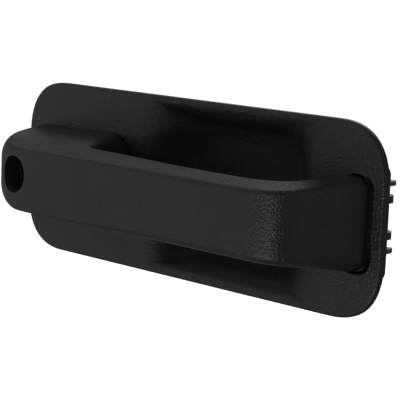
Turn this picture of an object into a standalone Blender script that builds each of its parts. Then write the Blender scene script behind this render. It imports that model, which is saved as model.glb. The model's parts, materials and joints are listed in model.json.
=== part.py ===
"""Exterior pull handle of a vehicle door, with its escutcheon and everything that it carries behind the skin.

The door skin lies in the plane Y = 0. The handle faces -Y, the inside of the door is +Y, and +Z is up.
The grip is hinged at its right end (+X) on an upright pin, and its left end is pulled out.
All the numbers below are millimetres, and MM turns them into metres.
"""

import math

import bmesh
import bpy
from mathutils import Matrix, Vector

MM = 0.001
GAP = 0.3

# Escutcheon: a flat plate with a dished finger recess.
PLATE_HALF_WIDTH = 135.0
PLATE_HALF_HEIGHT = 48.4
PLATE_CORNER_RADIUS = 32.9
PLATE_CORNER_POWER = 2.57
PLATE_THICKNESS = 3.2
FACE_Y = -5.2
RECESS_LEFT = -33.5
RECESS_RIGHT = 91.5
RECESS_BOTTOM = -45.4
RECESS_TOP = 46.6
RECESS_CORNER_RADIUS = 9.0
# Each step of the recess: its depth below the face, and how far in it is from the mouth along X and along Z.
RECESS_INNER_STEPS = (
    (-1.0, -7.0, -0.2), (0.0, -7.0, -0.2), (0.25, -3.0, 1.2), (0.75, 0.5, 2.6), (1.6, 4.0, 4.1),
    (3.0, 8.0, 5.7), (5.2, 12.0, 7.4), (9.0, 16.0, 9.4), (13.0, 19.5, 11.6), (15.8, 23.0, 14.4),
    (17.1, 27.0, 17.8), (17.5, 31.0, 21.5),
)
RECESS_OUTER_STEPS = (
    (2.0, -5.0, 0.6), (3.0, -1.0, 1.8), (4.0, 3.0, 3.0), (5.5, 7.0, 4.3), (7.7, 11.0, 5.8), (11.5, 14.0, 7.6),
    (15.5, 17.0, 9.8), (18.3, 20.5, 12.6), (19.6, 25.0, 16.2), (20.0, 29.0, 20.0),
)
SLOT = (108.0, 128.3, -24.9, 23.0)
SLOT_CORNER_RADIUS = 7.5
LEG_OPENING = (-101.0, -55.0, -9.5, 9.5)
LEG_OPENING_CORNER_RADIUS = 5.0
GASKET_INSET = 1.5
GASKET_OPENING = (-130.0, 130.0, -45.9, 45.9)
GASKET_OPENING_RADIUS = 28.0

# Fixings through the door skin.
STUD_POSITIONS = ((-117.0, 26.0), (-117.0, -26.0), (106.0, 34.5), (106.0, -34.5))
STUD_RADIUS = 3.0
STUD_COLLAR_RADIUS = 4.2
STUD_END_Y = 16.0
STUD_BOSS_RADIUS = 7.0
NUT_ACROSS_FLATS = 10.0
NUT_FLANGE_RADIUS = 6.5
NUT_HEIGHT = 6.0
# The nuts stand 1 mm off a 1.2 mm door skin, as they do before they are tightened.
NUT_FRONT_Y = 2.2
SCREW_RADIUS = 1.5

# Grip: half heights above and below its middle. Where they are pairs, the inner and the outer side differ.
LEFT_FOOT_TOP = (24.8, 23.3)
LEFT_FOOT_BOTTOM = (24.0, 23.6)
RIGHT_END_TOP = (22.5, 22.5)
RIGHT_END_BOTTOM = (24.4, 24.2)
STRAP_REAR = 32.0
STRAP_FRONT = 44.0
STRAP_REAR_TOP = 19.6
STRAP_REAR_BOTTOM = 20.5
STRAP_TOP_CREASE = 14.5
STRAP_BOTTOM_CREASE = 19.8
GRIP_REST_GAP = 1.1
CHANNEL = (-24.0, 82.0, -16.5, 13.0)
CHANNEL_FLOOR = 40.5
BACK_THICKNESS = 4.5
# The hollow in the grip's left end: at each distance out, its left and right ends, its half height and radius.
POCKET_STEPS = (
    (-1.0, -125.0, -53.0, 20.6, 7.0), (20.0, -120.5, -54.0, 17.5, 6.5), (34.6, -110.0, -55.0, 14.6, 5.0),
)
POCKET_FLOOR_Y = FACE_Y - POCKET_STEPS[-1][0]

# Key bore in the grip's left end: a cone down to the hole for the lock barrel.
BORE_X = -93.3
BORE_RADIUS = 10.0
BORE_DEPTH = 9.0
CYLINDER_HOLE_RADIUS = 7.5
SLEEVE_RADIUS = 9.5
SLEEVE_LENGTH = 24.0

# Hinge at the right end.
HINGE_X = 110.0
HINGE_Y = 18.8
HINGE_PIN_RADIUS = 2.5
KNUCKLE_RADIUS = 8.5
KNUCKLE_Z = (7.2, 10.8)
EAR_Z = (15.6, 17.9)
HINGE_BASE_Y = (2.6, 4.8)
HINGE_SCREWS = ((99.0, 22.5), (99.0, -22.5))

# Leg, bell crank and their bracket at the left end.
FOOT_FRONT_Y = FACE_Y - 7.0
FOOT_REAR_Y = FACE_Y - 3.0
LEG_SHAFT_X = (-79.0, -72.0)
LEG_HALF_HEIGHT = 7.0
LEG_HOOK_RIGHT = -57.0
HOOK_FRONT_Y = 25.8
HOOK_REAR_Y = 30.8
HOOK_Z = (0.8, 6.8)
LEG_SCREWS = ((-62.0, 12.5), (-62.0, -12.5))
BUMPER_POSITIONS = ((-73.5, 14.0), (-73.5, -14.0))
LEVER_Y = 11.7
LEVER_Z = -28.75
LEVER_PIN_RADIUS = 2.5
FINGER_RADIUS = 30.6
FINGER_TILT = 20.0
FINGER_X = (-65.0, -59.0)
ARM_X = (-58.3, -55.0)
ARM_LENGTH = 22.0
CHEEK_X = ((-70.5, -68.5), (-49.5, -47.5))
LEVER_BASE_Y = (0.8, 2.8)
LEVER_SCREWS = ((-78.0, -30.0), (-42.5, -22.0))


def clear_scene():
    for old in list(bpy.data.objects):
        bpy.data.objects.remove(old)


def make_material(name, colour, roughness, metallic=0.0):
    """A Principled BSDF material of one colour, given in linear values."""
    made = bpy.data.materials.new(name)
    made.use_nodes = True
    shader = made.node_tree.nodes["Principled BSDF"]
    shader.inputs["Base Color"].default_value = (*colour, 1.0)
    shader.inputs["Roughness"].default_value = roughness
    shader.inputs["Metallic"].default_value = metallic
    return made


def make_object(name, mesh_builder, finish):
    """An object from bmesh geometry in millimetres, with every face turned outwards."""
    bmesh.ops.recalc_face_normals(mesh_builder, faces=mesh_builder.faces)
    bmesh.ops.scale(mesh_builder, vec=(MM, MM, MM), verts=mesh_builder.verts)
    mesh = bpy.data.meshes.new(name)
    mesh_builder.to_mesh(mesh)
    mesh_builder.free()
    made = bpy.data.objects.new(name, mesh)
    bpy.context.scene.collection.objects.link(made)
    colour, roughness, metallic = finish
    mesh.materials.append(make_material(name, colour, roughness, metallic))
    return made


def loft(name, rings, finish, closed=False):
    """A solid through rings of points. Its ends are capped, or its last ring joins its first when closed."""
    builder = bmesh.new()
    loops = [[builder.verts.new(point) for point in ring] for ring in rings]
    pairs = list(zip(loops, loops[1:]))
    if closed:
        pairs.append((loops[-1], loops[0]))
    for first, second in pairs:
        count = len(first)
        for index in range(count):
            after = (index + 1) % count
            builder.faces.new((first[index], first[after], second[after], second[index]))
    if not closed:
        builder.faces.new(loops[0])
        builder.faces.new(loops[-1])
    return make_object(name, builder, finish)


def fillet_polygon(corners, radii, steps):
    """The corners of a polygon, each replaced by an arc of the given radius with the given number of steps."""
    points = []
    count = len(corners)
    for index, radius in enumerate(radii):
        corner = Vector(corners[index])
        before = (Vector(corners[index - 1]) - corner).normalized()
        after = (Vector(corners[(index + 1) % count]) - corner).normalized()
        half_angle = before.angle(after) / 2
        reach = radius / math.tan(half_angle)
        centre = corner + (before + after).normalized() * (radius / math.sin(half_angle))
        start = corner + before * reach - centre
        end = corner + after * reach - centre
        sweep = start.angle(end)
        for step in range(steps + 1):
            share = step / steps
            weight_start = math.sin((1 - share) * sweep) / math.sin(sweep)
            weight_end = math.sin(share * sweep) / math.sin(sweep)
            points.append(tuple(centre + start * weight_start + end * weight_end))
    return points


def rounded_rectangle(left, right, bottom, top, radius, steps=6):
    corners = ((left, bottom), (right, bottom), (right, top), (left, top))
    return fillet_polygon(corners, (radius,) * 4, steps)


def slab(name, outline, front, rear, finish):
    """A plate with an (x, z) outline between two depths."""
    return loft(name, [[(x, y, z) for x, z in outline] for y in (front, rear)], finish)


def box(name, x_range, y_range, z_range, finish, radius=0.8):
    outline = rounded_rectangle(*x_range, *z_range, radius, 2)
    return slab(name, outline, *y_range, finish)


def upright_plate(name, outline, z_range, finish):
    """A plate with an (x, y) outline between two heights."""
    return loft(name, [[(x, y, z) for x, y in outline] for z in z_range], finish)


def turned(name, profile, base, axis, finish, segments=24, tube=False):
    """A turned piece: (radius, distance) pairs about an axis. A tube's profile closes on itself."""
    turn = Vector((0, 0, 1)).rotation_difference(Vector(axis)).to_matrix()
    rings = []
    for radius, distance in profile:
        ring = []
        for index in range(segments):
            angle = 2 * math.pi * index / segments
            spot = Vector((radius * math.cos(angle), radius * math.sin(angle), distance))
            ring.append(tuple(turn @ spot + Vector(base)))
        rings.append(ring)
    return loft(name, rings, finish, closed=tube)


def combine(target, tools, operation):
    """Applies a Boolean with each tool in turn, and removes the tools."""
    for tool in tools:
        modifier = target.modifiers.new(operation, "BOOLEAN")
        modifier.operation = operation
        modifier.solver = "EXACT"
        modifier.object = tool
        graph = bpy.context.evaluated_depsgraph_get()
        finished = bpy.data.meshes.new_from_object(target.evaluated_get(graph))
        target.modifiers.clear()
        target.data = finished
        bpy.data.objects.remove(tool)
    return target


def cut(target, *tools):
    return combine(target, tools, "DIFFERENCE")


def join(target, *tools):
    return combine(target, tools, "UNION")


def hang_on(pivot, pieces):
    """Parents pieces that are already in place to an empty on their joint's axis."""
    for piece in pieces:
        piece.parent = pivot
        piece.location = -pivot.location


def make_pivot(name, x, y, z):
    pivot = bpy.data.objects.new(name, None)
    pivot.location = Vector((x, y, z)) * MM
    bpy.context.scene.collection.objects.link(pivot)
    return pivot


PLASTIC = ((0.022, 0.021, 0.020), 0.55, 0.0)
BRACKET_PLASTIC = ((0.035, 0.035, 0.034), 0.5, 0.0)
ACETAL = ((0.75, 0.74, 0.70), 0.4, 0.0)
RUBBER = ((0.012, 0.012, 0.012), 0.8, 0.0)
STEEL = ((0.55, 0.55, 0.53), 0.35, 1.0)
ZINC = ((0.42, 0.42, 0.41), 0.45, 1.0)
SPRING_STEEL = ((0.35, 0.35, 0.35), 0.3, 1.0)
CUTTER = ((0.5, 0.5, 0.5), 0.5, 0.0)


def plate_outline(inset, steps=10):
    """The escutcheon's outline: straight sides joined by slightly squared corners."""
    radius = PLATE_CORNER_RADIUS - inset
    centre_x = PLATE_HALF_WIDTH - PLATE_CORNER_RADIUS
    centre_z = PLATE_HALF_HEIGHT - PLATE_CORNER_RADIUS
    power = 2 / PLATE_CORNER_POWER
    quarter = []
    for step in range(steps + 1):
        angle = math.pi / 2 * step / steps
        quarter.append((radius * math.cos(angle) ** power, radius * abs(math.sin(angle)) ** power))
    points = [(centre_x + x, centre_z + z) for x, z in quarter]
    points += [(-centre_x - x, centre_z + z) for x, z in reversed(quarter)]
    points += [(-centre_x - x, -centre_z - z) for x, z in quarter]
    points += [(centre_x + x, -centre_z - z) for x, z in reversed(quarter)]
    return points


def recess_rings(steps):
    """The rings of the finger recess, from its mouth to its floor."""
    rings = []
    for depth, inset_x, inset_z in steps:
        outline = rounded_rectangle(
            RECESS_LEFT + inset_x, RECESS_RIGHT - inset_x, RECESS_BOTTOM + inset_z, RECESS_TOP - inset_z,
            RECESS_CORNER_RADIUS + 0.5 * inset_x,
        )
        rings.append([(x, FACE_Y + depth, z) for x, z in outline])
    return rings


def column(name, x, z, front, rear, radius, segments=20):
    return turned(name, ((radius, 0.0), (radius, rear - front)), (x, front, z), (0, 1, 0), CUTTER, segments)


def make_bezel():
    rim = ((0.0, 1.6), (0.3, 0.6), (0.9, 0.1), (1.7, 0.0), (2.9, 0.0), (PLATE_THICKNESS, 0.3))
    rings = [[(x, FACE_Y + depth, z) for x, z in plate_outline(inset)] for depth, inset in rim]
    bezel = loft("bezel", rings, PLASTIC)
    back = FACE_Y + PLATE_THICKNESS
    root = back - 1.0
    join(bezel, loft("recess_outside", recess_rings(RECESS_OUTER_STEPS), CUTTER))
    for x, z in STUD_POSITIONS:
        join(bezel, column("stud_boss", x, z, root, 0.0, STUD_BOSS_RADIUS))
    for screws, base_y in ((HINGE_SCREWS, HINGE_BASE_Y), (LEVER_SCREWS, LEVER_BASE_Y)):
        for x, z in screws:
            join(bezel, column("screw_boss", x, z, root, base_y[0] - GAP, 4.0, 16))
    cut(bezel, loft("recess_inside", recess_rings(RECESS_INNER_STEPS), CUTTER))
    for limits, radius in ((SLOT, SLOT_CORNER_RADIUS), (LEG_OPENING, LEG_OPENING_CORNER_RADIUS)):
        cut(bezel, slab("opening", rounded_rectangle(*limits, radius), FACE_Y - 1, back + 1, CUTTER))
    for x, z in STUD_POSITIONS:
        cut(bezel, column("stud_hole", x, z, back - 1.6, 1.0, STUD_COLLAR_RADIUS + GAP))
    for x, z in HINGE_SCREWS + LEVER_SCREWS:
        cut(bezel, column("screw_hole", x, z, back - 1.4, 4.0, SCREW_RADIUS + GAP, 12))
    for x, z in BUMPER_POSITIONS:
        cut(bezel, column("bumper_hole", x, z, FACE_Y - 1, back + 1, 2.0 + GAP, 12))
    return bezel


def make_gasket():
    front = FACE_Y + PLATE_THICKNESS + GAP
    gasket = slab("bezel_gasket", plate_outline(GASKET_INSET), front, 0.0, RUBBER)
    opening = rounded_rectangle(*GASKET_OPENING, GASKET_OPENING_RADIUS, 10)
    return cut(gasket, slab("middle", opening, front - 1, 1.0, CUTTER))


def make_studs_and_nuts():
    collar_front = FACE_Y + PLATE_THICKNESS - 1.3
    for number, (x, z) in enumerate(STUD_POSITIONS, 1):
        length = STUD_END_Y - collar_front
        profile = (
            (STUD_COLLAR_RADIUS, 0.0), (STUD_COLLAR_RADIUS, -collar_front), (STUD_RADIUS, -collar_front),
            (STUD_RADIUS, length - 1.2), (STUD_RADIUS - 1.0, length),
        )
        turned(f"stud_{number}", profile, (x, collar_front, z), (0, 1, 0), STEEL, 16)
        make_nut(f"nut_{number}", x, z)


def make_nut(name, x, z):
    corner = NUT_ACROSS_FLATS / 2 / math.cos(math.pi / 6)
    hexagon = turned(name, ((corner, 0.4), (corner, NUT_HEIGHT)), (x, NUT_FRONT_Y, z), (0, 1, 0), STEEL, 6)
    flange = turned(
        "flange", ((NUT_FLANGE_RADIUS, 0.0), (NUT_FLANGE_RADIUS, 0.8), (corner - 0.6, 2.0)),
        (x, NUT_FRONT_Y, z), (0, 1, 0), STEEL, 24,
    )
    join(hexagon, flange)
    rear = NUT_FRONT_Y + NUT_HEIGHT
    cut(hexagon, column("thread", x, z, NUT_FRONT_Y - 1, rear + 1, STUD_RADIUS + GAP, 16))


def half_height(out, at_plate, at_rear, at_front):
    """How far a side of the grip is from its middle height, at a distance out from the escutcheon's face."""
    if out <= STRAP_REAR:
        return at_plate + (at_rear - at_plate) * max(out, 0.0) / STRAP_REAR
    return at_rear + (at_front - at_rear) * (out - STRAP_REAR) / (STRAP_FRONT - STRAP_REAR)


def grip_section(inner, outer, inner_radius, top_radius, bottom_radius, foot_top, foot_bottom, outer_top=None):
    """One cross-section of the grip, between an inner and an outer point of its plan, each (x, distance out)."""
    inner_point = Vector((inner[0], FACE_Y - inner[1]))
    outer_point = Vector((outer[0], FACE_Y - outer[1]))
    width = (outer_point - inner_point).length
    along = (outer_point - inner_point) / width
    outs = (inner[1], outer[1])
    tops = [half_height(out, foot, STRAP_REAR_TOP, STRAP_TOP_CREASE) for out, foot in zip(outs, foot_top)]
    bottoms = [
        half_height(out, foot, STRAP_REAR_BOTTOM, STRAP_BOTTOM_CREASE) for out, foot in zip(outs, foot_bottom)
    ]
    corners = (
        (0.0, -bottoms[0]), (width, -bottoms[1]), (width, tops[1] if outer_top is None else outer_top),
        (0.0, tops[0]),
    )
    outline = fillet_polygon(corners, (inner_radius, bottom_radius, top_radius, inner_radius), 4)
    return [(inner_point.x + along.x * u, inner_point.y + along.y * u, v) for u, v in outline]


def grip_sections():
    """The grip's plan, followed from its left foot along the strap and round into the hinge slot."""
    left_foot = (
        ((-46.0, GRIP_REST_GAP), (-130.0, GRIP_REST_GAP), 14.0, 12.0, 12.0),
        ((-46.3, 10.0), (-128.8, 11.0), 12.0, 12.0, 12.5),
        ((-46.4, 18.0), (-126.4, 20.6), 9.0, 12.0, 13.5),
        ((-45.6, 24.0), (-122.4, 27.8), 7.0, 12.0, 14.5),
        ((-43.8, 27.6), (-116.8, 33.7), 5.0, 11.0, 14.5),
        ((-40.6, 30.0), (-110.2, 38.7), 4.0, 9.0, 13.0),
        ((-35.8, 31.4), (-102.8, 42.3), 3.0, 6.5, 10.0),
    )
    strap = (
        ((-28.0, 32.0), (-93.0, 44.0), 2.5, 4.0, 6.5),
        ((-20.0, 32.0), (-70.0, 44.0), 2.5, 3.5, 5.0),
        ((-5.0, 32.0), (-30.0, 44.0), 2.5, 3.0, 5.0),
        ((15.0, 32.0), (6.0, 44.0), 2.5, 3.0, 5.0),
        ((45.0, 32.0), (42.0, 44.0), 2.5, 3.0, 5.0),
        ((78.0, 32.0), (80.0, 44.0), 2.5, 3.0, 5.0),
    )
    right_bend = (
        ((86.0, 31.7), (92.0, 43.6), 2.5, 3.0, 5.0, 14.8),
        ((92.0, 30.2), (99.6, 42.0), 2.5, 3.0, 5.0, 15.2),
        ((96.6, 27.8), (105.6, 38.6), 2.5, 3.0, 5.0, 15.6),
        ((99.6, 24.6), (109.8, 33.6), 2.5, 3.2, 5.5, 16.0),
        ((101.6, 21.0), (112.4, 27.6), 2.5, 3.6, 6.0, 16.6),
        ((103.2, 17.0), (113.9, 21.2), 2.5, 4.2, 6.0, 17.4),
        ((104.9, 13.0), (115.4, 15.0), 2.5, 4.8, 6.5, 18.4),
        ((107.2, 9.2), (117.6, 9.4), 2.5, 5.4, 7.0, 19.6),
        ((110.2, 5.7), (120.2, 4.8), 1.4, 6.0, 7.6, 20.8),
        ((113.0, 2.6), (122.6, 1.4), 1.2, 6.4, 7.8, 21.8),
        ((114.6, -0.6), (124.0, -1.2), 1.2, 6.6, 7.8, 22.3),
        ((115.0, -4.4), (124.2, -4.8), 1.2, 6.6, 7.8, 22.3),
    )
    sections = [
        grip_section(*station, foot_top=LEFT_FOOT_TOP, foot_bottom=LEFT_FOOT_BOTTOM)
        for station in left_foot + strap
    ]
    sections += [
        grip_section(*station, foot_top=RIGHT_END_TOP, foot_bottom=RIGHT_END_BOTTOM, outer_top=outer_top)
        for *station, outer_top in right_bend
    ]
    return sections


def knuckle_outline():
    """A hinge lug in plan: from the grip's right end back to a round eye about the hinge pin."""
    points = []
    for step in range(13):
        angle = math.radians(-20 + 220 * step / 12)
        points.append((HINGE_X + KNUCKLE_RADIUS * math.cos(angle), HINGE_Y + KNUCKLE_RADIUS * math.sin(angle)))
    return points + [(115.5, FACE_Y + 3.0), (123.5, FACE_Y + 3.0)]


def make_grip_shell():
    grip = loft("grip_shell", grip_sections(), PLASTIC)
    for low, high in (KNUCKLE_Z, (-KNUCKLE_Z[1], -KNUCKLE_Z[0])):
        join(grip, upright_plate("lug", knuckle_outline(), (low, high), CUTTER))
    cut(grip, turned("pin_hole", ((4.3, -20.0), (4.3, 20.0)), (HINGE_X, HINGE_Y, 0), (0, 0, 1), CUTTER, 20))
    left, right, bottom, top = CHANNEL
    channel = slab(
        "channel", rounded_rectangle(left, right, bottom, top, 3.0, 3),
        FACE_Y - CHANNEL_FLOOR, FACE_Y - STRAP_REAR + 3.0, CUTTER,
    )
    cut(grip, channel)
    pocket_rings = []
    for out, left, right, half, radius in POCKET_STEPS:
        outline = rounded_rectangle(left, right, -half, half, radius, 4)
        pocket_rings.append([(x, FACE_Y - out, z) for x, z in outline])
    cut(grip, loft("pocket", pocket_rings, CUTTER))
    for x, z in LEG_SCREWS:
        join(grip, column("screw_post", x, z, POCKET_FLOOR_Y - 1.0, FOOT_FRONT_Y - GAP, 3.6, 16))
        cut(grip, column("screw_hole", x, z, FACE_Y - 22.0, FACE_Y, SCREW_RADIUS + GAP, 12))
    front = FACE_Y - STRAP_FRONT
    bore = (
        (BORE_RADIUS + 1.6, -1.0), (BORE_RADIUS + 1.0, 0.0), (BORE_RADIUS + 0.3, 0.5), (BORE_RADIUS, 1.2),
        (CYLINDER_HOLE_RADIUS, BORE_DEPTH), (CYLINDER_HOLE_RADIUS, BORE_DEPTH + 2.0),
    )
    return cut(grip, turned("bore", bore, (BORE_X, front, 0), (0, 1, 0), CUTTER, 40))


def make_grip_back():
    left, right, bottom, top = CHANNEL
    rear = FACE_Y - STRAP_REAR + 0.5
    rings = []
    for y, inset in ((rear - BACK_THICKNESS, GAP), (rear - 0.6, GAP), (rear, GAP + 0.7)):
        outline = rounded_rectangle(left + inset, right - inset, bottom + inset, top - inset, 3.0 - inset, 3)
        rings.append([(x, y, z) for x, z in outline])
    return loft("grip_back", rings, BRACKET_PLASTIC)


def make_lock_sleeve():
    front = POCKET_FLOOR_Y + GAP
    profile = (
        (CYLINDER_HOLE_RADIUS, 0.0), (SLEEVE_RADIUS, 0.0), (SLEEVE_RADIUS, SLEEVE_LENGTH),
        (CYLINDER_HOLE_RADIUS, SLEEVE_LENGTH),
    )
    return turned("lock_sleeve", profile, (BORE_X, front, 0), (0, 1, 0), ZINC, 32, tube=True)


def make_bushings():
    made = []
    for name, side in (("hinge_bushing_upper", 1), ("hinge_bushing_lower", -1)):
        bore = HINGE_PIN_RADIUS + GAP
        profile = (
            (bore, KNUCKLE_Z[0]), (4.0, KNUCKLE_Z[0]), (4.0, KNUCKLE_Z[1] + GAP), (5.8, KNUCKLE_Z[1] + GAP),
            (5.8, KNUCKLE_Z[1] + 1.8), (bore, KNUCKLE_Z[1] + 1.8),
        )
        made.append(turned(name, profile, (HINGE_X, HINGE_Y, 0), (0, 0, side), ACETAL, 24, tube=True))
    return made


def make_pull_leg():
    """The flat foot screwed into the grip, the shaft through the escutcheon, and the hook behind the lever."""
    leg = box("pull_leg", (-80.0, -54.5), (FOOT_FRONT_Y, FOOT_REAR_Y), (-17.5, 17.5), ZINC, 2.0)
    shaft_z = (-LEG_HALF_HEIGHT, LEG_HALF_HEIGHT)
    join(leg, box("shaft", LEG_SHAFT_X, (FOOT_REAR_Y - 1.0, HOOK_REAR_Y), shaft_z, CUTTER, 1.2))
    hook_x = (LEG_SHAFT_X[0], LEG_HOOK_RIGHT)
    join(leg, box("hook", hook_x, (HOOK_FRONT_Y, HOOK_REAR_Y), HOOK_Z, CUTTER, 1.5))
    for x, z in LEG_SCREWS:
        cut(leg, column("hole", x, z, FOOT_FRONT_Y - 1.0, FOOT_REAR_Y + 1.0, SCREW_RADIUS + GAP, 12))
    return leg


def make_pan_screw(name, x, z, seat, length):
    """A pan-head screw along Y: its head lies behind the seat, and its shank goes towards -Y."""
    profile = (
        (0.6, -length), (SCREW_RADIUS, SCREW_RADIUS - length), (SCREW_RADIUS, GAP), (3.2, GAP), (3.2, 1.2),
        (2.2, 2.2),
    )
    return turned(name, profile, (x, seat, z), (0, 1, 0), STEEL, 16)


def make_leg_screws():
    return [
        make_pan_screw(f"leg_screw_{number}", x, z, FOOT_REAR_Y, 16.0)
        for number, (x, z) in enumerate(LEG_SCREWS, 1)
    ]


def make_bumpers():
    for number, (x, z) in enumerate(BUMPER_POSITIONS, 1):
        profile = ((2.0, -PLATE_THICKNESS - 0.6), (2.0, GAP), (3.4, GAP), (3.4, 1.8), (2.4, 2.7))
        turned(f"bumper_{number}", profile, (x, FACE_Y, z), (0, -1, 0), RUBBER, 16)


def make_hinge_bracket():
    bracket = box("hinge_bracket", (94.0, 130.0), HINGE_BASE_Y, (-27.0, 27.0), BRACKET_PLASTIC, 3.0)
    cut(bracket, box("window", (105.0, 126.5), (1.0, 7.0), (-14.6, 14.6), CUTTER, 2.0))
    ear = (
        (101.2, 3.6), (103.6, 17.0), (105.6, 22.6), (109.0, 25.6), (115.2, 27.2), (117.4, 24.0),
        (119.0, 15.0), (125.2, 3.6),
    )
    for low, high in (EAR_Z, (-EAR_Z[1], -EAR_Z[0])):
        join(bracket, upright_plate("ear", ear, (low, high), CUTTER))
    cut(bracket, turned(
        "pin_hole", ((HINGE_PIN_RADIUS + GAP, -30.0), (HINGE_PIN_RADIUS + GAP, 30.0)),
        (HINGE_X, HINGE_Y, 0), (0, 0, 1), CUTTER, 20,
    ))
    for x, z in HINGE_SCREWS:
        cut(bracket, column("hole", x, z, -1.0, 6.0, SCREW_RADIUS + GAP, 12))
    return bracket


def make_hinge_pin():
    profile = ((1.9, -22.0), (2.5, -21.2), (2.5, 21.2), (1.9, 22.0))
    return turned("hinge_pin", profile, (HINGE_X, HINGE_Y, 0), (0, 0, 1), STEEL, 20)


def make_hinge_screws():
    for number, (x, z) in enumerate(HINGE_SCREWS, 1):
        make_pan_screw(f"hinge_screw_{number}", x, z, HINGE_BASE_Y[1], 7.4)


def make_lever_bracket():
    bracket = box("lever_bracket", (-86.0, -37.5), LEVER_BASE_Y, (-38.0, -16.0), BRACKET_PLASTIC, 3.0)
    cheek = ((1.8, -37.0), (18.6, -33.8), (18.6, -23.8), (1.8, -17.0))
    for x_range in CHEEK_X:
        outline = fillet_polygon(cheek, (0.6, 4.0, 4.0, 0.6), 4)
        join(bracket, loft("cheek", [[(x, y, z) for y, z in outline] for x in x_range], CUTTER))
    cut(bracket, turned(
        "pin_hole", ((LEVER_PIN_RADIUS + GAP, -80.0), (LEVER_PIN_RADIUS + GAP, -40.0)),
        (0, LEVER_Y, LEVER_Z), (1, 0, 0), CUTTER, 20,
    ))
    for x, z in LEVER_SCREWS:
        cut(bracket, column("hole", x, z, -1.0, 6.0, SCREW_RADIUS + GAP, 12))
    return bracket


def make_lever_screws():
    for number, (x, z) in enumerate(LEVER_SCREWS, 1):
        make_pan_screw(f"lever_screw_{number}", x, z, LEVER_BASE_Y[1], 5.6)


def make_lever_pin():
    radius = LEVER_PIN_RADIUS
    profile = (
        (3.4, -73.0), (4.2, -72.4), (4.2, -70.8), (radius, -70.8), (radius, -46.9),
        (radius - 0.7, -46.9), (radius - 0.7, -45.6), (radius, -45.6), (radius, -44.6), (radius - 0.5, -44.0),
    )
    turned("lever_pin", profile, (0, LEVER_Y, LEVER_Z), (1, 0, 0), STEEL, 20)
    clip = ((2.1, -46.6), (4.8, -46.6), (4.8, -45.9), (2.1, -45.9))
    clip_ring = turned("lever_pin_clip", clip, (0, LEVER_Y, LEVER_Z), (1, 0, 0), SPRING_STEEL, 20, tube=True)
    return cut(clip_ring, box("gap", (-48.0, -44.0), (LEVER_Y, LEVER_Y + 6.0), (LEVER_Z - 1.5, LEVER_Z + 1.5), CUTTER))


def lever_arm_outline(direction, length, hub_radius, end_radius):
    """A tapered arm in the (y, z) plane, round at its far end, from the lever's axis."""
    points = []
    for step in range(9):
        angle = math.radians(direction - 90 + 180 * step / 8)
        points.append((
            LEVER_Y + length * math.cos(math.radians(direction)) + end_radius * math.cos(angle),
            LEVER_Z + length * math.sin(math.radians(direction)) + end_radius * math.sin(angle),
        ))
    for step in range(9):
        angle = math.radians(direction + 90 + 180 * step / 8)
        points.append((LEVER_Y + hub_radius * math.cos(angle), LEVER_Z + hub_radius * math.sin(angle)))
    return points


def rod_hole_centre():
    angle = math.radians(-FINGER_TILT)
    return LEVER_Y + ARM_LENGTH * math.cos(angle), LEVER_Z + ARM_LENGTH * math.sin(angle)


def make_bellcrank():
    axis = (0, LEVER_Y, LEVER_Z)
    lever = turned("bellcrank", ((5.2, -68.0), (5.2, -54.4)), axis, (1, 0, 0), ZINC, 24)
    finger = lever_arm_outline(90.0 - FINGER_TILT, FINGER_RADIUS, 4.2, 3.0)
    arm = lever_arm_outline(-FINGER_TILT, ARM_LENGTH, 4.8, 4.0)
    join(lever, loft("finger", [[(x, y, z) for y, z in finger] for x in FINGER_X], CUTTER))
    join(lever, loft("arm", [[(x, y, z) for y, z in arm] for x in ARM_X], CUTTER))
    cut(lever, turned("pin_hole", ((2.8, -80.0), (2.8, -40.0)), axis, (1, 0, 0), CUTTER, 20))
    y, z = rod_hole_centre()
    return cut(lever, turned("rod_hole", ((1.9, -80.0), (1.9, -40.0)), (0, y, z), (1, 0, 0), CUTTER, 14))


def make_rod_clip():
    """The nylon clip pressed through the arm's hole, with a cradle for a 4 mm rod beside the arm."""
    y, z = rod_hole_centre()
    profile = ((1.6, -59.2), (2.3, -58.6), (1.6, -58.6), (1.6, ARM_X[1] + GAP), (4.0, ARM_X[1] + GAP), (4.0, -52.6))
    clip = turned("rod_clip", profile, (0, y, z), (1, 0, 0), ACETAL, 16)
    return cut(clip, turned("rod", ((2.1, -20.0), (2.1, 20.0)), (-51.4, y, z), (0, 0, 1), CUTTER, 16))


def make_return_spring():
    """A torsion spring round the lever pin: one end bears on the bracket, the other pushes the arm."""
    turns = 3.25
    steps = 52
    centre_line = [Vector((-50.6, 4.3, LEVER_Z + 4.1))]
    for step in range(steps + 1):
        angle = math.radians(90) - 2 * math.pi * turns * step / steps
        along = -50.6 - 2.9 * step / steps
        centre_line.append(Vector((along, LEVER_Y + 4.1 * math.cos(angle), LEVER_Z + 4.1 * math.sin(angle))))
    return tube_along("return_spring", centre_line, 0.5, SPRING_STEEL)


def tube_along(name, centre_line, radius, finish, sides=6):
    """A round wire along a line of points."""
    rings = []
    side = Vector((1, 0, 0))
    for index, point in enumerate(centre_line):
        before = centre_line[max(index - 1, 0)]
        after = centre_line[min(index + 1, len(centre_line) - 1)]
        tangent = (after - before).normalized()
        side = (side - tangent * side.dot(tangent)).normalized()
        other = tangent.cross(side)
        ring = []
        for corner in range(sides):
            angle = 2 * math.pi * corner / sides
            ring.append(tuple(point + side * (radius * math.cos(angle)) + other * (radius * math.sin(angle))))
        rings.append(ring)
    return loft(name, rings, finish)


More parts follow.
